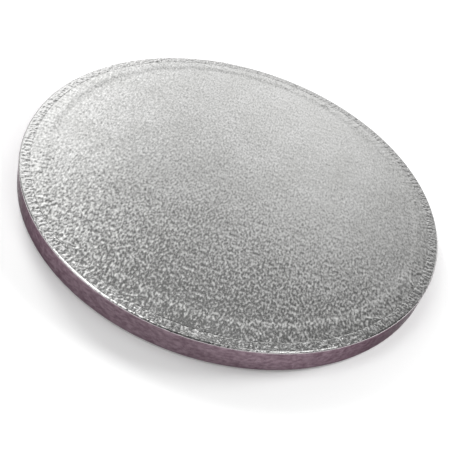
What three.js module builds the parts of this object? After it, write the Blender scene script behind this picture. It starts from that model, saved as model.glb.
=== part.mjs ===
// A round cake board of the thick kind, lying flat with its underside on z = 0.
// A board disc carries a foil strip that is wrapped round its edge and turned in over both faces,
// where the spare length gathers in pleats. A foil disc covers the gathers on top and leaves a bare
// pleated band at the rim, and a plain paper disc covers them underneath.
import * as THREE from "three";

// Sizes across the board, in millimetres
const boardDiameter = 203.2; // over the wrapped edge
const marginWidth = 11; // how far the strip is turned in on each face
const topFoilInset = 4.9; // from the rim to the cut edge of the top foil
const basePaperInset = 6; // from the rim to the cut edge of the base paper

// Thicknesses, in millimetres
const coreThickness = 12.2;
const foilThickness = 0.2; // foil with its paper backing
const basePaperThickness = 0.2;
const glueLine = 0.05; // between any two layers

// The strip's bend at the rim, and the pleats in its turned margins
const edgeRound = 1; // outer radius of the bend
const pleatCount = 216;
const pleatHeight = 0.3; // of a full pleat above the flat of the margin
const pleatGrowth = 1.5; // length over which a pleat rises from the bend
const pleatLean = 0.75; // share of its pitch at which a pleat is highest
const pleatUnevenness = 0.35; // share of the height that the flattest pleats lack

// The step where the top foil climbs on to the margin beneath it
const foilStepWidth = 2;
const foilStepGap = 0.3; // between the step and the margin's end

// Facets
const turnFacets = 120; // in a full turn
const bendFacets = 3; // in a quarter bend
const stepFacets = 3; // in the foil's step

// Radii that follow
const rimRadius = boardDiameter / 2;
const bendStart = rimRadius - edgeRound;
const marginEnd = rimRadius - marginWidth;
const topFoilRadius = rimRadius - topFoilInset;
const basePaperRadius = rimRadius - basePaperInset;

// Heights that follow, above the level that the core stands on
const lowerMargin = pleatHeight + foilThickness; // the lower margin's face against the core
const upperMargin = coreThickness + glueLine; // the upper margin's face against the core
const coreLevel = basePaperThickness + glueLine;
const topFoilLevel = coreLevel + coreThickness + glueLine;

// A quarter bend as [radius, height] points round a centre, between two directions in quarter turns
function quarterBend(centreRadius, centreHeight, bendRadius, fromQuarter, toQuarter) {
  return Array.from({ length: bendFacets + 1 }, (_, i) => {
    const quarter = fromQuarter + ((toQuarter - fromQuarter) * i) / bendFacets;
    const angle = (quarter * Math.PI) / 2;
    return [
      centreRadius + bendRadius * Math.cos(angle),
      centreHeight + bendRadius * Math.sin(angle),
    ];
  });
}

// A solid turned about the upright axis from [radius, height] points, from the axis below to the axis above
function turned(points) {
  const outline = points.map(([radius, height]) => new THREE.Vector2(radius, height));
  return new THREE.LatheGeometry(outline, turnFacets).rotateX(Math.PI / 2);
}

// The board disc: round edges that the strip bends over, and a lower edge pressed in by the strip's margin
function coreBoard() {
  const bendRadius = edgeRound - foilThickness - glueLine;
  const pressedStart = marginEnd - glueLine;
  const pressedLevel = lowerMargin + glueLine;
  return turned([
    [0, 0],
    [pressedStart, 0],
    [pressedStart, pressedLevel],
    ...quarterBend(bendStart, pressedLevel + bendRadius, bendRadius, -1, 0),
    ...quarterBend(bendStart, coreThickness - bendRadius, bendRadius, 0, 1),
    [0, coreThickness],
  ]);
}

// The plain paper disc that the board lies on
function basePaper() {
  return turned([
    [0, 0],
    [basePaperRadius, 0],
    [basePaperRadius, basePaperThickness],
    [0, basePaperThickness],
  ]);
}

// One face of the top foil: flat in the middle, then a soft step up on to the margin
function drapedFace(height) {
  const stepHeight = foilThickness + pleatHeight + glueLine;
  const stepEnd = marginEnd - foilStepGap;
  const step = Array.from({ length: stepFacets + 1 }, (_, i) => {
    const along = i / stepFacets;
    const climb = THREE.MathUtils.smoothstep(along, 0, 1);
    return [stepEnd - foilStepWidth * (1 - along), height + stepHeight * climb];
  });
  return [[0, height], ...step, [topFoilRadius, height + stepHeight]];
}

// The foil disc: its upper face runs back to the axis above its lower face
function topFoil() {
  return turned([...drapedFace(0), ...drapedFace(foilThickness).reverse()]);
}

// A smooth ring of points about the axis, each with its angle
function smoothRing([radius, height]) {
  return Array.from({ length: turnFacets }, (_, i) => {
    const angle = (2 * Math.PI * i) / turnFacets;
    return { angle, radius, height };
  });
}

// How high a pleat stands: neighbours differ, and no short pattern repeats
function pleatRise(pleat) {
  const goldenShare = (Math.sqrt(5) - 1) / 2;
  const slack = (pleat * goldenShare) % 1;
  return pleatHeight * (1 - pleatUnevenness * slack);
}

// A ring across the pleats: each climbs slowly from its foot to its crest and drops back quickly
function pleatedRing(radius, flatHeight, side) {
  const pitch = (2 * Math.PI) / pleatCount;
  return Array.from({ length: pleatCount }, (_, pleat) => [
    { angle: pleat * pitch, radius, height: flatHeight },
    {
      angle: (pleat + pleatLean) * pitch,
      radius,
      height: flatHeight + side * pleatRise(pleat),
    },
  ]).flat();
}

// Triangles between two rings that may have different counts, taking the nearer next point each time
function stitch(first, second) {
  const triangles = [];
  const nextAngle = (ring, i) => (i + 1 < ring.length ? ring[i + 1].angle : 2 * Math.PI);
  let i = 0;
  let j = 0;
  while (i < first.length || j < second.length) {
    const a = first[i % first.length].index;
    const b = second[j % second.length].index;
    const firstIsNearer =
      j >= second.length || (i < first.length && nextAngle(first, i) <= nextAngle(second, j));
    if (firstIsNearer) {
      triangles.push(a, first[(i + 1) % first.length].index, b);
      i += 1;
    } else {
      triangles.push(a, second[(j + 1) % second.length].index, b);
      j += 1;
    }
  }
  return triangles;
}

// A closed body through rings of points, the last joined to the first
function lofted(rings) {
  const points = rings.flat();
  points.forEach((point, index) => {
    point.index = index;
  });
  const positions = points.flatMap(({ angle, radius, height }) => [
    radius * Math.sin(angle),
    -radius * Math.cos(angle),
    height,
  ]);
  const triangles = rings.flatMap((ring, i) => stitch(ring, rings[(i + 1) % rings.length]));
  const geometry = new THREE.BufferGeometry();
  geometry.setAttribute("position", new THREE.Float32BufferAttribute(positions, 3));
  geometry.setIndex(triangles);
  geometry.computeVertexNormals();
  return geometry;
}

// The foil strip: a thin C in section, smooth on the wall and pleated on both turned margins
function edgeWrap() {
  const innerBend = edgeRound - foilThickness;
  const lowerFlat = lowerMargin - foilThickness;
  const upperFlat = upperMargin + foilThickness;
  const pleatFull = bendStart - pleatGrowth;
  return lofted([
    pleatedRing(marginEnd, lowerFlat, -1),
    pleatedRing(pleatFull, lowerFlat, -1),
    ...quarterBend(bendStart, lowerFlat + edgeRound, edgeRound, -1, 0).map(smoothRing),
    ...quarterBend(bendStart, upperFlat - edgeRound, edgeRound, 0, 1).map(smoothRing),
    pleatedRing(pleatFull, upperFlat, 1),
    pleatedRing(marginEnd, upperFlat, 1),
    smoothRing([marginEnd, upperMargin]),
    ...quarterBend(bendStart, upperMargin - innerBend, innerBend, 1, 0).map(smoothRing),
    ...quarterBend(bendStart, lowerMargin + innerBend, innerBend, 0, -1).map(smoothRing),
    smoothRing([marginEnd, lowerMargin]),
  ]);
}

// A named piece with its own material, standing at its level
function piece(name, geometry, level, material) {
  const mesh = new THREE.Mesh(geometry, new THREE.MeshStandardMaterial(material));
  mesh.name = name;
  mesh.position.z = level;
  return mesh;
}

const plainPaper = { color: 0xd9d8d3, roughness: 0.85, metalness: 0 };
const greyBoard = { color: 0xa39a8c, roughness: 0.9, metalness: 0 };
const mauveFoil = { color: 0xa793a0, roughness: 0.4, metalness: 0.8 };
const silverFoil = { color: 0xcfcecb, roughness: 0.4, metalness: 0.9 };

const cakeBoard = new THREE.Group();
cakeBoard.add(
  piece("base_paper", basePaper(), 0, plainPaper),
  piece("core_board", coreBoard(), coreLevel, greyBoard),
  piece("edge_wrap", edgeWrap(), coreLevel, mauveFoil),
  piece("top_foil", topFoil(), topFoilLevel, silverFoil),
);

export default cakeBoard;
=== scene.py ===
import math

import bpy
import numpy as np
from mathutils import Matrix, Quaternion, Vector


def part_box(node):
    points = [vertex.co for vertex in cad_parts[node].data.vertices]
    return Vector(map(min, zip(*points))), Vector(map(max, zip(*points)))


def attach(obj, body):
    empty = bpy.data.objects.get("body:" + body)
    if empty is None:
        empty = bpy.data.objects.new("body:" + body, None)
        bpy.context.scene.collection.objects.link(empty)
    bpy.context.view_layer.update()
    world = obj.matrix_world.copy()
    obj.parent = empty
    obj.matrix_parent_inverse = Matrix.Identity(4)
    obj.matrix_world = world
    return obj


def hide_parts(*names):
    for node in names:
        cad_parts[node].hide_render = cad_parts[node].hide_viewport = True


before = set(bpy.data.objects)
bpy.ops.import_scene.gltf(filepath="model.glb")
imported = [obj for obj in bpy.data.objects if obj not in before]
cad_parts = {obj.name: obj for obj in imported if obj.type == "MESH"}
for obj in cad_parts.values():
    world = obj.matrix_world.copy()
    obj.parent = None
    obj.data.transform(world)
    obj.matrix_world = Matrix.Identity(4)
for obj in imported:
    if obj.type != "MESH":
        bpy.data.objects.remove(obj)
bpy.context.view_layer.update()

MM = 0.001
TURN = 2 * math.pi

# Sizes of the board in millimetres, from the frame
RIM_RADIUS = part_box("edge_wrap")[1].x / MM
FOIL_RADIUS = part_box("top_foil")[1].x / MM
BASE_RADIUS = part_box("base_paper")[1].x / MM
BASE_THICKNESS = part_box("base_paper")[1].z / MM
STRIP_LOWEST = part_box("edge_wrap")[0].z / MM

# The level of the strip's upper margin between its pleats; the lengths that follow are in millimetres too
RIM_TOP = 12.7

# The turned-in margin ends on a circle that lies a little off the board's centre, and wavers
MARGIN_END = 91.1
MARGIN_OFFSET = 1.9
MARGIN_WAVER = 0.35

# The edge strip: where it ends under the top foil, its thickness, the segments of its mesh in a turn,
# its bend, and the waves of its wall
STRIP_END = 90
STRIP_THICKNESS = 0.22
STRIP_SEGMENTS = 1440
BEND = 1.0
WALL_INSET = 0.2
WALL_WAVE = 0.05
WALL_RIPPLE = 0.03

# Its margins: how deep they lie, also where the top foil presses on them, their pleats and crumples
MARGIN_SINK = 0.05
PRESSED_DEPTH = 0.13
UPPER_PLEAT = 0.13
LOWER_PLEAT = 0.28
RIM_PLEAT = 0.1
CRUMPLE = 0.11
RIM_CRUMPLE = 0.03

# The lap of the strip's two ends at the back
LAP_ANGLE = math.radians(104)
LAP_LENGTH = 14
LAP_HEIGHT = 0.12

# The top foil: its thickness, its depth in the middle, the rings of its mesh, and its step up on to
# the margin, which starts before the margin's end and is over after it
FOIL_THICKNESS = 0.05
FOIL_SINK = 0.05
FOIL_RINGS = 168
STEP_BEFORE = 3.6
STEP_AFTER = 0.6
STEP_HEIGHT = 0.11
STEP_PLEAT = 0.05

# Its unevenness: wide swells, small dimples and the relief of the grain
SWELL = 0.03
DIMPLE = 0.012
RELIEF = 0.015

# The embossed grain: its stretch along y, its fine cells in a metre, and their tilt at the front and
# from the middle to the back
GRAIN_STRETCH = 1.8
GRAIN_CELLS = 1080
FRONT_TILT = 0.6
BACK_TILT = 0.265

# The base paper: its thickness, the rings of its mesh, the depth of the print that the margin and its
# pleats leave in it, and its small dimples
BASE_SHEET = 0.08
BASE_RINGS = 80
BASE_PRINT = 0.05
BASE_DIMPLE = 0.012

# A sheet's cut edge: its gap inside the full radius, its slow waver and its fray
CUT_GAP = 0.02
CUT_WAVER = 0.12
CUT_FRAY = 0.05


def fade(value, start, end):
    """0 before start, 1 after end, and smooth between them"""
    share = np.clip((np.asarray(value, float) - start) / (end - start), 0, 1)
    return share * share * (3 - 2 * share)


def noise(x, y, cell, seed):
    """Smooth random values from about -1 to 1 that change over one cell"""
    count = 256
    turns = np.random.default_rng(seed).uniform(0, TURN, (count, count))
    u = np.asarray(x, float) / cell
    v = np.asarray(y, float) / cell
    i = np.floor(u).astype(int)
    j = np.floor(v).astype(int)
    fu = u - i
    fv = v - j

    def corner(di, dj):
        turn = turns[(i + di) % count, (j + dj) % count]
        return np.cos(turn) * (fu - di) + np.sin(turn) * (fv - dj)

    su = fu * fu * fu * (fu * (6 * fu - 15) + 10)
    sv = fv * fv * fv * (fv * (6 * fv - 15) + 10)
    near = corner(0, 0) * (1 - su) + corner(1, 0) * su
    far = corner(0, 1) * (1 - su) + corner(1, 1) * su
    return 1.6 * (near * (1 - sv) + far * sv)


def pleat_angles(mean_pitch, spread, seed):
    """Angles round the board at which pleats start, unevenly spaced"""
    draw = np.random.default_rng(seed)
    count = round(TURN / mean_pitch)
    pitches = draw.uniform(1 - spread, 1 + spread, count)
    edges = np.concatenate([[0], np.cumsum(pitches)])
    return edges * TURN / edges[-1]


class Pleats:
    """A row of uneven knife pleats: each climbs from its foot to its crest and drops back"""

    def __init__(self, mean_pitch, seed):
        self.edges = pleat_angles(mean_pitch, 0.55, seed)
        draw = np.random.default_rng(seed + 1)
        count = len(self.edges) - 1
        self.height = draw.uniform(0.35, 1, count)
        self.lean = draw.uniform(0.55, 0.85, count)
        self.slant = draw.uniform(-0.0035, 0.0035, count)

    def rise(self, angle, inward):
        """Height from 0 to 1 at an angle and a distance inward from the rim"""
        angle = np.asarray(angle, float) % TURN
        which = np.clip(np.searchsorted(self.edges, angle, side="right") - 1, 0, len(self.height) - 1)
        moved = (angle + self.slant[which] * inward) % TURN
        which = np.clip(np.searchsorted(self.edges, moved, side="right") - 1, 0, len(self.height) - 1)
        start = self.edges[which]
        share = (moved - start) / (self.edges[which + 1] - start)
        lean = self.lean[which]
        climb = np.where(share < lean, share / lean, (1 - share) / (1 - lean))
        return self.height[which] * fade(climb, 0, 1)


TOP_PLEATS = Pleats(math.radians(1.55), seed=11)
LOWER_PLEATS = Pleats(math.radians(1.75), seed=23)


def margin_end(angle):
    """Radius at which the turned-in margin ends, at an angle round the board"""
    turn_radius = 40
    waver = noise(np.cos(angle) * turn_radius, np.sin(angle) * turn_radius, cell=9, seed=5)
    return MARGIN_END + MARGIN_OFFSET * np.sin(angle) + MARGIN_WAVER * waver


def grain(x, y):
    """The foil's embossed grain, from about -1 to 1, a little longer along y"""
    coarse = noise(x, y / GRAIN_STRETCH, cell=0.95, seed=31)
    fine = noise(x, y / GRAIN_STRETCH, cell=0.7, seed=32)
    patch = 0.75 + 0.35 * noise(x, y, cell=9, seed=33)
    return patch * np.tanh(1.5 * (coarse + 0.45 * fine))


def new_object(name, vertices, faces, material):
    """A smooth-shaded mesh object from vertices in millimetres"""
    mesh = bpy.data.meshes.new(name)
    mesh.from_pydata([tuple(v) for v in np.asarray(vertices) * MM], [], faces)
    mesh.materials.append(material)
    mesh.polygons.foreach_set("use_smooth", [True] * len(mesh.polygons))
    mesh.set_sharp_from_angle(angle=math.radians(50))
    mesh.update()
    made = bpy.data.objects.new(name, mesh)
    bpy.context.scene.collection.objects.link(made)
    return made


def stitch(first_start, first_count, second_start, second_count):
    """Triangles between two rings of evenly spaced vertices that may have different counts"""
    triangles = []
    i = 0
    j = 0
    while i < first_count or j < second_count:
        a = first_start + i % first_count
        b = second_start + j % second_count
        first_next = (i + 1) * second_count
        second_next = (j + 1) * first_count
        if j >= second_count or (i < first_count and first_next <= second_next):
            triangles.append((a, first_start + (i + 1) % first_count, b))
            i += 1
        else:
            triangles.append((a, second_start + (j + 1) % second_count, b))
            j += 1
    return triangles


def cut_radius(radius, angle):
    """Radius of a sheet's cut edge, which wavers a little inside its full radius"""
    u = np.cos(angle) * radius
    v = np.sin(angle) * radius
    waver = CUT_WAVER * (1 + noise(u, v, cell=7, seed=71))
    fray = CUT_FRAY * (1 + noise(u, v, cell=1.5, seed=72))
    return radius - CUT_GAP - waver - fray


def disc_points(radius, rings):
    """Points of an even disc: a centre, then rings of 6, 12, 18 and more out to its wavering edge"""
    xs = [np.zeros(1)]
    ys = [np.zeros(1)]
    for ring in range(1, rings + 1):
        angle = np.arange(6 * ring) * TURN / (6 * ring)
        reach = cut_radius(radius, angle) * ring / rings
        xs.append(np.cos(angle) * reach)
        ys.append(np.sin(angle) * reach)
    return np.concatenate(xs), np.concatenate(ys)


def disc_sheet(name, radius, rings, face_height, thickness, back_steps, side, material):
    """A thin round sheet: a dense face, its cut edge, and a plain back through (radius, height) steps"""
    x, y = disc_points(radius, rings)
    vertices = [np.stack([x, y, face_height(x, y)], axis=1)]
    faces = []
    starts = [0] + [1 + 3 * k * (k - 1) for k in range(1, rings + 1)]
    faces += [(0, 1 + i, 1 + (i + 1) % 6) for i in range(6)]
    for ring in range(1, rings):
        faces += stitch(starts[ring + 1], 6 * (ring + 1), starts[ring], 6 * ring)
    edge_count = 6 * rings
    previous = starts[rings]
    total = len(x)
    angle = np.arange(edge_count) * TURN / edge_count
    back = [vertices[0][previous:] - (0, 0, side * thickness)]
    for back_radius, height in back_steps:
        level = np.full(edge_count, height)
        back.append(np.stack([np.cos(angle) * back_radius, np.sin(angle) * back_radius, level], axis=1))
    for ring in back:
        vertices.append(ring)
        faces += stitch(total, edge_count, previous, edge_count)
        previous = total
        total += edge_count
    vertices.append(np.array([[0, 0, back_steps[-1][1]]]))
    faces += [(total, previous + (i + 1) % edge_count, previous + i) for i in range(edge_count)]
    if side < 0:
        faces = [face[::-1] for face in faces]
    return new_object(name, np.concatenate(vertices), faces, material)


def set_socket(node, name, value):
    node.inputs[name].default_value = value


def new_material(name, metallic, roughness):
    """A material whose shader's even values sit on its own sockets"""
    material = bpy.data.materials.new(name)
    material.use_nodes = True
    shader = material.node_tree.nodes["Principled BSDF"]
    set_socket(shader, "Metallic", metallic)
    set_socket(shader, "Roughness", roughness)
    return material, material.node_tree, shader


def add_noise(tree, scale, detail, coordinate):
    """A noise texture in object coordinates; scale counts features in a metre"""
    node = tree.nodes.new("ShaderNodeTexNoise")
    set_socket(node, "Scale", scale)
    set_socket(node, "Detail", detail)
    tree.links.new(coordinate, node.inputs["Vector"])
    return node


def add_range(tree, value, low, high, to_low, to_high):
    """Maps a value from one range to another"""
    node = tree.nodes.new("ShaderNodeMapRange")
    for name, number in zip(("From Min", "From Max", "To Min", "To Max"), (low, high, to_low, to_high)):
        set_socket(node, name, number)
    tree.links.new(value, node.inputs["Value"])
    return node.outputs["Result"]


def add_mix(tree, share, first, second):
    """Mixes two colours, or two colour outputs, by a share"""
    node = tree.nodes.new("ShaderNodeMix")
    node.data_type = "RGBA"
    tree.links.new(share, node.inputs["Factor"])
    for name, colour in (("A", first), ("B", second)):
        socket = next(s for s in node.inputs if s.name == name and s.type == "RGBA")
        if isinstance(colour, bpy.types.NodeSocket):
            tree.links.new(colour, socket)
        else:
            socket.default_value = (*colour, 1)
    return next(s for s in node.outputs if s.type == "RGBA")


def add_bump(tree, shader, height, distance, strength):
    """A fine relief, with its depth in metres"""
    node = tree.nodes.new("ShaderNodeBump")
    set_socket(node, "Distance", distance)
    set_socket(node, "Strength", strength)
    tree.links.new(height, node.inputs["Height"])
    tree.links.new(node.outputs["Normal"], shader.inputs["Normal"])


def object_coordinate(tree):
    return tree.nodes.new("ShaderNodeTexCoord").outputs["Object"]


def vector_math(tree, operation, first, second=None):
    """The result of a vector operation; either side may be an output or three numbers"""
    node = tree.nodes.new("ShaderNodeVectorMath")
    node.operation = operation
    for socket, value in zip(node.inputs, (first, second)):
        if isinstance(value, bpy.types.NodeSocket):
            tree.links.new(value, socket)
        elif value is not None:
            socket.default_value = value
    return node.outputs["Vector"]


def number_math(tree, operation, first, second=0):
    """The result of a number operation; either side may be an output or a number"""
    node = tree.nodes.new("ShaderNodeMath")
    node.operation = operation
    for socket, value in zip(node.inputs, (first, second)):
        if isinstance(value, bpy.types.NodeSocket):
            tree.links.new(value, socket)
        else:
            socket.default_value = value
    return node.outputs[0]


def grain_tilt(tree, place):
    """How strongly the grain tilts the foil, from the front to the middle of the board"""
    split = tree.nodes.new("ShaderNodeSeparateXYZ")
    tree.links.new(place, split.inputs["Vector"])
    front = -0.9 * RIM_RADIUS * MM
    middle = -0.1 * RIM_RADIUS * MM
    return add_range(tree, split.outputs["Y"], front, middle, FRONT_TILT, BACK_TILT)


def add_grain(tree, shader, place):
    """Tilts the foil every way at random, in fine cells that are longer along y than along x"""
    stretched = vector_math(tree, "MULTIPLY", place, (1, 1 / GRAIN_STRETCH, 1))
    speckle = add_noise(tree, GRAIN_CELLS, 2, stretched).outputs["Color"]
    centred = vector_math(tree, "SUBTRACT", speckle, (0.5, 0.5, 0.5))
    tilt = grain_tilt(tree, place)
    level_tilt = tree.nodes.new("ShaderNodeCombineXYZ")
    for name in ("X", "Y"):
        tree.links.new(tilt, level_tilt.inputs[name])
    sideways = vector_math(tree, "MULTIPLY", centred, level_tilt.outputs["Vector"])
    turn = tree.nodes.new("ShaderNodeVectorTransform")
    turn.vector_type = "VECTOR"
    turn.convert_from = "OBJECT"
    turn.convert_to = "WORLD"
    tree.links.new(sideways, turn.inputs["Vector"])
    normal = tree.nodes.new("ShaderNodeNewGeometry").outputs["Normal"]
    tilted = vector_math(tree, "NORMALIZE", vector_math(tree, "ADD", normal, turn.outputs["Vector"]))
    tree.links.new(tilted, shader.inputs["Normal"])


def add_clouds(tree, place, scale, detail, soft_end, first, second):
    """Two colours in soft clouds"""
    cloud = add_noise(tree, scale, detail, place).outputs["Fac"]
    return add_mix(tree, add_range(tree, cloud, soft_end, 1 - soft_end, 0, 1), first, second)


def silver_foil():
    """Bright embossed foil: an uneven silver with a fine crinkle"""
    material, tree, shader = new_material("silver_foil", 1.0, 0.3)
    place = object_coordinate(tree)
    colour = add_clouds(tree, place, 60, 4, 0.3, (0.78, 0.78, 0.765), (0.86, 0.86, 0.85))
    tree.links.new(colour, shader.inputs["Base Color"])
    crinkle = add_noise(tree, 1100, 3, place).outputs["Fac"]
    tree.links.new(add_range(tree, crinkle, 0.3, 0.7, 0.19, 0.25), shader.inputs["Roughness"])
    add_grain(tree, shader, place)
    return material


def strip_foil():
    """The edge strip's silver foil: a painted mauve reflection on the wall, and plain silver where it turns
    over the rim
    """
    material, tree, shader = new_material("strip_foil", 1.0, 0.35)
    place = object_coordinate(tree)
    split = tree.nodes.new("ShaderNodeSeparateXYZ")
    tree.links.new(place, split.inputs["Vector"])
    upper = add_range(tree, split.outputs["Z"], (RIM_TOP - 1.0) * MM, (RIM_TOP - 0.3) * MM, 0, 1)
    streaked = vector_math(tree, "MULTIPLY", place, (1, 1, 1.8))
    # The wall's mauve is a painted reflection of a mauve surface in streaky clouds, darker than the silver
    # foil itself
    painted_mauve_reflection = add_clouds(tree, streaked, 420, 5, 0.35, (0.195, 0.133, 0.163), (0.32, 0.238, 0.277))
    colour = add_mix(tree, upper, painted_mauve_reflection, (0.82, 0.82, 0.81))
    tree.links.new(colour, shader.inputs["Base Color"])
    set_socket(shader, "Specular Tint", (0.38, 0.36, 0.37, 1))
    crinkle = add_noise(tree, 900, 3, place).outputs["Fac"]
    tree.links.new(add_range(tree, crinkle, 0.3, 0.7, 0.19, 0.29), shader.inputs["Roughness"])
    add_grain(tree, shader, place)
    return material


def plain_paper():
    """Matt paper with faint fibres and clouds"""
    material, tree, shader = new_material("plain_paper", 0.0, 0.85)
    place = object_coordinate(tree)
    pale = add_clouds(tree, place, 45, 5, 0.3, (0.74, 0.73, 0.7), (0.84, 0.83, 0.81))
    fibre = add_noise(tree, 1600, 4, place).outputs["Fac"]
    colour = add_mix(tree, add_range(tree, fibre, 0.35, 0.75, 0, 0.35), pale, (0.6, 0.585, 0.55))
    tree.links.new(colour, shader.inputs["Base Color"])
    add_bump(tree, shader, fibre, 0.00005, 0.5)
    return material


def grey_board():
    """Pasted board, with specks"""
    material, tree, shader = new_material("grey_board", 0.0, 0.9)
    place = object_coordinate(tree)
    speck = add_noise(tree, 700, 5, place).outputs["Fac"]
    colour = add_mix(tree, add_range(tree, speck, 0.3, 0.7, 0, 1), (0.3, 0.27, 0.23), (0.42, 0.38, 0.33))
    tree.links.new(colour, shader.inputs["Base Color"])
    add_bump(tree, shader, speck, 0.00008, 0.6)
    return material


def polar(x, y):
    """Distance from the axis, and the angle round it from x towards y"""
    return np.hypot(x, y), np.arctan2(y, x) % TURN


# Blisters where the top foil has come off the margin: angle, radius, half width and height
BLISTERS = [(244, 94.3, 2.6, 0.09), (256, 91.7, 3.2, 0.07), (269, 92.5, 2.8, 0.06), (205, 92.8, 2.2, 0.06)]


def blisters(x, y):
    lift = 0
    for angle, radius, half_width, height in BLISTERS:
        u = x - radius * math.cos(math.radians(angle))
        v = y - radius * math.sin(math.radians(angle))
        lift = lift + height * (1 - fade(np.hypot(u, v), 0.3 * half_width, half_width))
    return lift


# Folds near the rim that show through the foil, as groups of middle angle, spread and count
FOLD_GROUPS = [(math.radians(322), 0.4, 16), (math.radians(180), math.pi, 26)]
FOLD_HEIGHT = 0.13
FOLD_HALF_WIDTH = 0.9
FOLD_SLANT = 0.02
FOLD_STARTS = (91.5, 94)
FOLD_LENGTHS = (2, 6)


def folds(radius, angle):
    """Height of the folds, which run nearly straight out to the rim"""
    draw = np.random.default_rng(81)
    lift = 0
    for middle, spread, count in FOLD_GROUPS:
        for _ in range(count):
            place = middle + spread * draw.uniform(-1, 1)
            slant = draw.uniform(-FOLD_SLANT, FOLD_SLANT)
            start = draw.uniform(*FOLD_STARTS)
            end = start + draw.uniform(*FOLD_LENGTHS)
            off = (angle - place - slant * (radius - start) + math.pi) % TURN - math.pi
            ridge = FOLD_HEIGHT * (1 - fade(np.abs(off) * radius, 0, FOLD_HALF_WIDTH))
            lift = lift + ridge * fade(radius, start, start + 1) * (1 - fade(radius, end - 1, end))
    return lift


def top_face_height(x, y):
    """Height of the top foil's upper face"""
    radius, angle = polar(x, y)
    end = margin_end(angle)
    climb = fade(radius, end - STEP_BEFORE, end + STEP_AFTER)
    pleats = TOP_PLEATS.rise(angle, RIM_RADIUS - radius)
    over_margin = climb * (STEP_HEIGHT + STEP_PLEAT * pleats)
    uneven = SWELL * noise(x, y, cell=16, seed=41) + DIMPLE * noise(x, y, cell=4, seed=42)
    relief = RELIEF * grain(x, y)
    return RIM_TOP - FOIL_SINK + over_margin + uneven + relief + blisters(x, y) + folds(radius, angle)


# The foil's hidden back, as radii and depths under the rim's top
FOIL_BACK = [(91, 0.12), (87, 0.3), (2, 0.3)]


def make_top_foil(material):
    steps = [(radius, RIM_TOP - depth) for radius, depth in FOIL_BACK]
    made = disc_sheet(
        "top_foil_sheet", FOIL_RADIUS, FOIL_RINGS, top_face_height, FOIL_THICKNESS, steps, 1, material
    )
    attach(made, "root")
    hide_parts("top_foil")
    return made


# The level of the strip's lower margin between its pleats
FLAT_LOW = STRIP_LOWEST + 0.3


def strip_section():
    """The strip's outer face as rows of (radius, height, kind), from the lower margin's end to the upper's"""
    wall_top = RIM_TOP - BEND
    wall_low = FLAT_LOW + BEND
    start = RIM_RADIUS - BEND
    # Rows lie close together near the rim and farther apart under the sheets
    lower_radii = np.concatenate([np.linspace(STRIP_END, 97, 6), np.linspace(97.6, start, 8)])
    upper_radii = np.concatenate([np.linspace(start, 96.4, 14), np.linspace(95.5, STRIP_END, 6)])
    rows = [(radius, FLAT_LOW, "lower") for radius in lower_radii]
    for quarter in np.linspace(-1, 0, 8)[1:]:
        angle = quarter * math.pi / 2
        rows.append((start + BEND * math.cos(angle), wall_low + BEND * math.sin(angle), "low_bend"))
    for height in np.linspace(wall_low, wall_top, 12)[1:-1]:
        rows.append((RIM_RADIUS, height, "wall"))
    for quarter in np.linspace(0, 1, 10)[:-1]:
        angle = quarter * math.pi / 2
        rows.append((start + BEND * math.cos(angle), wall_top + BEND * math.sin(angle), "top_bend"))
    rows += [(radius, RIM_TOP, "upper") for radius in upper_radii]
    return rows


def lap(angle):
    """1 where the strip's two ends lap over each other, and 0 elsewhere"""
    along = ((angle - LAP_ANGLE + math.pi) % TURN - math.pi) * RIM_RADIUS
    return fade(along, 0, 0.5) * (1 - fade(along, LAP_LENGTH, LAP_LENGTH + 2))


def strip_surface(radius, height, kind, angle):
    """The outer face of the strip at one row of the section, with its pleats and waves"""
    inward = RIM_RADIUS - radius
    foil_inset = RIM_RADIUS - FOIL_RADIUS
    pressed = fade(inward, foil_inset - 0.3, foil_inset + 0.8)
    grow = fade(inward, 0.4, 2.2) * (1 - 0.7 * pressed)
    out = np.full_like(angle, radius)
    up = np.full_like(angle, height)
    arc = angle * RIM_RADIUS
    depth = inward / 1.4
    crumple = noise(arc, depth, cell=1.0, seed=51) + 0.6 * noise(arc, depth, cell=0.7, seed=54)
    if kind == "upper":
        pleats = UPPER_PLEAT * TOP_PLEATS.rise(angle, inward)
        up += grow * (pleats + CRUMPLE * crumple) + folds(out, angle)
        up -= MARGIN_SINK + PRESSED_DEPTH * pressed
    if kind == "lower":
        up -= LOWER_PLEAT * grow * LOWER_PLEATS.rise(angle, inward)
    if kind in ("wall", "top_bend", "low_bend"):
        wave = WALL_WAVE * noise(arc, height, cell=7, seed=52)
        ripple = WALL_RIPPLE * noise(arc, height, cell=2.2, seed=53)
        out += wave + ripple - WALL_INSET + LAP_HEIGHT * lap(angle)
    if kind == "top_bend":
        turned_over = (height - (RIM_TOP - BEND)) / BEND
        out -= turned_over * (RIM_PLEAT * TOP_PLEATS.rise(angle, inward) + RIM_CRUMPLE * crumple)
        up -= turned_over * (MARGIN_SINK - RIM_CRUMPLE * crumple)
    return out, up


def strip_inside():
    """The strip's hidden inner face as (radius, height), from the upper margin's end back to the lower's"""
    upper = RIM_TOP - STRIP_THICKNESS
    lower = FLAT_LOW + STRIP_THICKNESS
    bend_start = RIM_RADIUS - 1.2
    wall = RIM_RADIUS - 0.35
    wall_top = upper - 0.78
    wall_low = lower + 0.73
    return [
        (STRIP_END, upper), (bend_start, upper), (wall, wall_top),
        (wall, wall_low), (bend_start, lower), (STRIP_END, lower),
    ]


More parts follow.
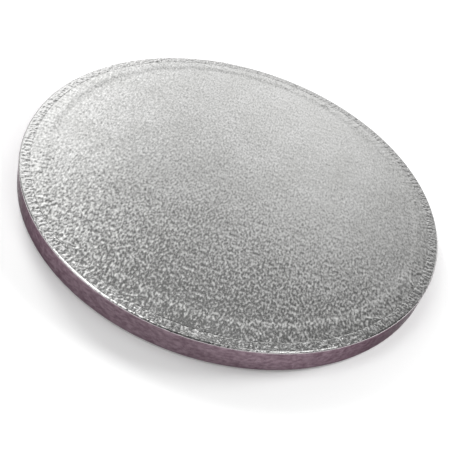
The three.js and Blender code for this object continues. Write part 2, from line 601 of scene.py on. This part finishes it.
def make_edge_strip(material):
    """The strip as rows of points round the board, from the outer face back along the inner one"""
    count = STRIP_SEGMENTS
    angle = np.arange(count) * TURN / count
    vertices = []
    for radius, height, kind in strip_section():
        out, up = strip_surface(radius, height, kind, angle)
        out = np.minimum(out, RIM_RADIUS - 0.01)
        vertices.append(np.stack([np.cos(angle) * out, np.sin(angle) * out, up], axis=1))
    for radius, height in strip_inside():
        level = np.full(count, height)
        vertices.append(np.stack([np.cos(angle) * radius, np.sin(angle) * radius, level], axis=1))
    rows = len(vertices)
    faces = []
    for row in range(rows):
        this = row * count
        other = ((row + 1) % rows) * count
        for i in range(count):
            j = (i + 1) % count
            faces.append((this + i, this + j, other + j, other + i))
    made = new_object("edge_strip", np.concatenate(vertices), faces, material)
    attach(made, "root")
    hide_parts("edge_wrap")
    return made


def base_face_height(x, y):
    """The underside of the base paper: nearly flat, with a faint print of the margin and its pleats"""
    radius, angle = polar(x, y)
    end = margin_end(angle)
    middle = 1 - fade(radius, end - 2.5, end - 0.3)
    pleats = LOWER_PLEATS.rise(angle, RIM_RADIUS - radius)
    lift = BASE_PRINT * middle + BASE_PRINT * (1 - middle) * (1 - pleats)
    return lift + BASE_DIMPLE * (1 + noise(x, y, cell=5, seed=61))


def make_base_paper(material):
    top = BASE_THICKNESS - 0.01
    steps = [(BASE_RADIUS - 1, top), (2, top)]
    made = disc_sheet(
        "base_sheet", BASE_RADIUS, BASE_RINGS, base_face_height, BASE_SHEET, steps, -1, material
    )
    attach(made, "root")
    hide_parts("base_paper")
    return made


def dress_core(material):
    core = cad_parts["core_board"]
    core.data.materials.clear()
    core.data.materials.append(material)


# The photograph's camera, in millimetres from the middle of the upper face
EYE = Vector((0, -290.7, 230.9))
AIM = Vector((1.27, -34.3, 0))
ROLL = math.radians(18.86)
LENS = 62.03


def make_camera():
    data = bpy.data.cameras.new("camera")
    data.lens = LENS
    data.sensor_width = 36
    data.sensor_fit = "HORIZONTAL"
    data.clip_start = 0.01
    camera = bpy.data.objects.new("camera", data)
    bpy.context.scene.collection.objects.link(camera)
    level = Vector((0, 0, RIM_TOP))
    camera.location = (EYE + level) * MM
    look = (AIM - EYE).to_track_quat("-Z", "Y")
    roll = Quaternion((0, 0, 1), ROLL)
    camera.rotation_euler = (look @ roll).to_euler()
    bpy.context.scene.camera = camera


# The two key lamps: directions in degrees, counted from x towards y, sizes in metres, power in watts
KEY_MIDDLE = 78
KEY_SPREAD = 50
KEY_ELEVATION = 28
KEY_DISTANCE = 1.2
KEY_SIZE = 0.45
KEY_POWER = 10.5


def key_lamp(name, place):
    """A round lamp that points at the board's middle and that the foil doesn't reflect"""
    data = bpy.data.lights.new(name, "AREA")
    data.shape = "DISK"
    data.size = KEY_SIZE
    data.energy = KEY_POWER
    lamp = bpy.data.objects.new(name, data)
    bpy.context.scene.collection.objects.link(lamp)
    lamp.location = place
    lamp.rotation_euler = (-Vector(place)).to_track_quat("-Z", "Y").to_euler()
    lamp.visible_glossy = False
    lamp.visible_camera = False


def make_key_lamps():
    """Two soft lamps at the back: where their shadows cross, in front of the board, the floor is dark"""
    for side in (-1, 1):
        azimuth = math.radians(KEY_MIDDLE + side * KEY_SPREAD)
        rise = math.radians(KEY_ELEVATION)
        level = KEY_DISTANCE * math.cos(rise)
        place = (level * math.cos(azimuth), level * math.sin(azimuth), KEY_DISTANCE * math.sin(rise))
        key_lamp(f"key_{side}", place)


# How bright the floor looks by itself near the board, where 1 is white, and the distances in metres
# over which that grows to white
FLOOR_GLOW = 0.16
GLOW_NEAR = 0.3
GLOW_FAR = 1.2
FLOOR_HALF = 3.0
FLOOR_LEVEL = -0.0002


def make_floor():
    """A white floor that takes the shadow, and glows a little for the camera and in reflections"""
    material = bpy.data.materials.new("floor_white")
    material.use_nodes = True
    tree = material.node_tree
    tree.nodes.clear()
    output = tree.nodes.new("ShaderNodeOutputMaterial")
    diffuse = tree.nodes.new("ShaderNodeBsdfDiffuse")
    set_socket(diffuse, "Color", (0.9, 0.9, 0.9, 1))
    glow = tree.nodes.new("ShaderNodeEmission")
    away = tree.nodes.new("ShaderNodeVectorMath")
    away.operation = "LENGTH"
    tree.links.new(object_coordinate(tree), away.inputs[0])
    brightness = add_range(tree, away.outputs["Value"], GLOW_NEAR, GLOW_FAR, FLOOR_GLOW, 1)
    tree.links.new(brightness, glow.inputs["Strength"])
    both = tree.nodes.new("ShaderNodeAddShader")
    path = tree.nodes.new("ShaderNodeLightPath")
    seen = number_math(tree, "MAXIMUM", path.outputs["Is Camera Ray"], path.outputs["Is Glossy Ray"])
    choose = tree.nodes.new("ShaderNodeMixShader")
    tree.links.new(seen, choose.inputs[0])
    tree.links.new(diffuse.outputs[0], both.inputs[0])
    tree.links.new(glow.outputs[0], both.inputs[1])
    tree.links.new(diffuse.outputs[0], choose.inputs[1])
    tree.links.new(both.outputs[0], choose.inputs[2])
    tree.links.new(choose.outputs[0], output.inputs["Surface"])
    half = FLOOR_HALF
    mesh = bpy.data.meshes.new("floor")
    corners = [(-half, -half, 0), (half, -half, 0), (half, half, 0), (-half, half, 0)]
    mesh.from_pydata(corners, [], [(0, 1, 2, 3)])
    mesh.materials.append(material)
    floor = bpy.data.objects.new("floor", mesh)
    floor.location.z = FLOOR_LEVEL
    bpy.context.scene.collection.objects.link(floor)


# The studio's soft boxes as the foil reflects them: direction in degrees, where azimuth 0 is straight
# behind the board and 90 to its right, then how wide they are and how bright, where 1 is white
SOFT_BOXES = {
    "low_left": (-45, 12, 16, 0.5),
    "low_right": (35, 12, 12, 1.2),
    "back_low_left": (-20, 22, 7, 1.5),
    "back_low": (3, 22, 9, 0.7),
    "back": (0, 31, 9.2, 0.4),
    "back_left": (-23, 39, 6.5, 0.85),
    "back_right": (11, 40, 5, 0.3),
    "left": (-47, 36, 10, 1.0),
    "top_left": (-60, 70, 6, 4.2),
    "top": (0, 70, 6, 0.6),
    "top_right": (60, 70, 6, 2.6),
    "side_left": (-110, 50, 10, 3.6),
    "side_right": (110, 50, 8, 2.6),
    "front_left": (-125, 20, 12, 1.2),
    "front_right": (143, 22, 9, 1.3),
}

# The room's own even brightness
ROOM = 0.035


def add_soft_box(tree, way, azimuth, elevation, width, strength):
    """Brightness that is greatest in one direction and falls away smoothly over the width"""
    azimuth, elevation, width = (math.radians(value) for value in (azimuth, elevation, width))
    level = math.cos(elevation)
    middle = (math.sin(azimuth) * level, math.cos(azimuth) * level, math.sin(elevation))
    product = tree.nodes.new("ShaderNodeVectorMath")
    product.operation = "DOT_PRODUCT"
    tree.links.new(way, product.inputs[0])
    product.inputs[1].default_value = middle
    away = number_math(tree, "SUBTRACT", product.outputs["Value"], 1)
    falloff = number_math(tree, "EXPONENT", number_math(tree, "MULTIPLY", away, 1 / width ** 2))
    return number_math(tree, "MULTIPLY", falloff, strength)


def make_world():
    """A dim room with soft boxes, which the camera itself sees as plain white"""
    world = bpy.data.worlds.new("studio")
    bpy.context.scene.world = world
    world.use_nodes = True
    tree = world.node_tree
    tree.nodes.clear()
    output = tree.nodes.new("ShaderNodeOutputWorld")
    back = tree.nodes.new("ShaderNodeBackground")
    set_socket(back, "Color", (1, 1, 1, 1))
    way = tree.nodes.new("ShaderNodeTexCoord").outputs["Generated"]
    light = ROOM
    for box in SOFT_BOXES.values():
        light = number_math(tree, "ADD", add_soft_box(tree, way, *box), light)
    path = tree.nodes.new("ShaderNodeLightPath")
    strength = tree.nodes.new("ShaderNodeMix")
    strength.data_type = "FLOAT"
    tree.links.new(path.outputs["Is Camera Ray"], strength.inputs[0])
    tree.links.new(light, strength.inputs[2])
    strength.inputs[3].default_value = 1.0
    tree.links.new(strength.outputs[0], back.inputs["Strength"])
    tree.links.new(back.outputs[0], output.inputs["Surface"])


def main():
    make_top_foil(silver_foil())
    make_edge_strip(strip_foil())
    make_base_paper(plain_paper())
    dress_core(grey_board())
    make_camera()
    make_floor()
    make_world()
    make_key_lamps()
    bpy.context.scene.view_settings.view_transform = "Standard"


main()
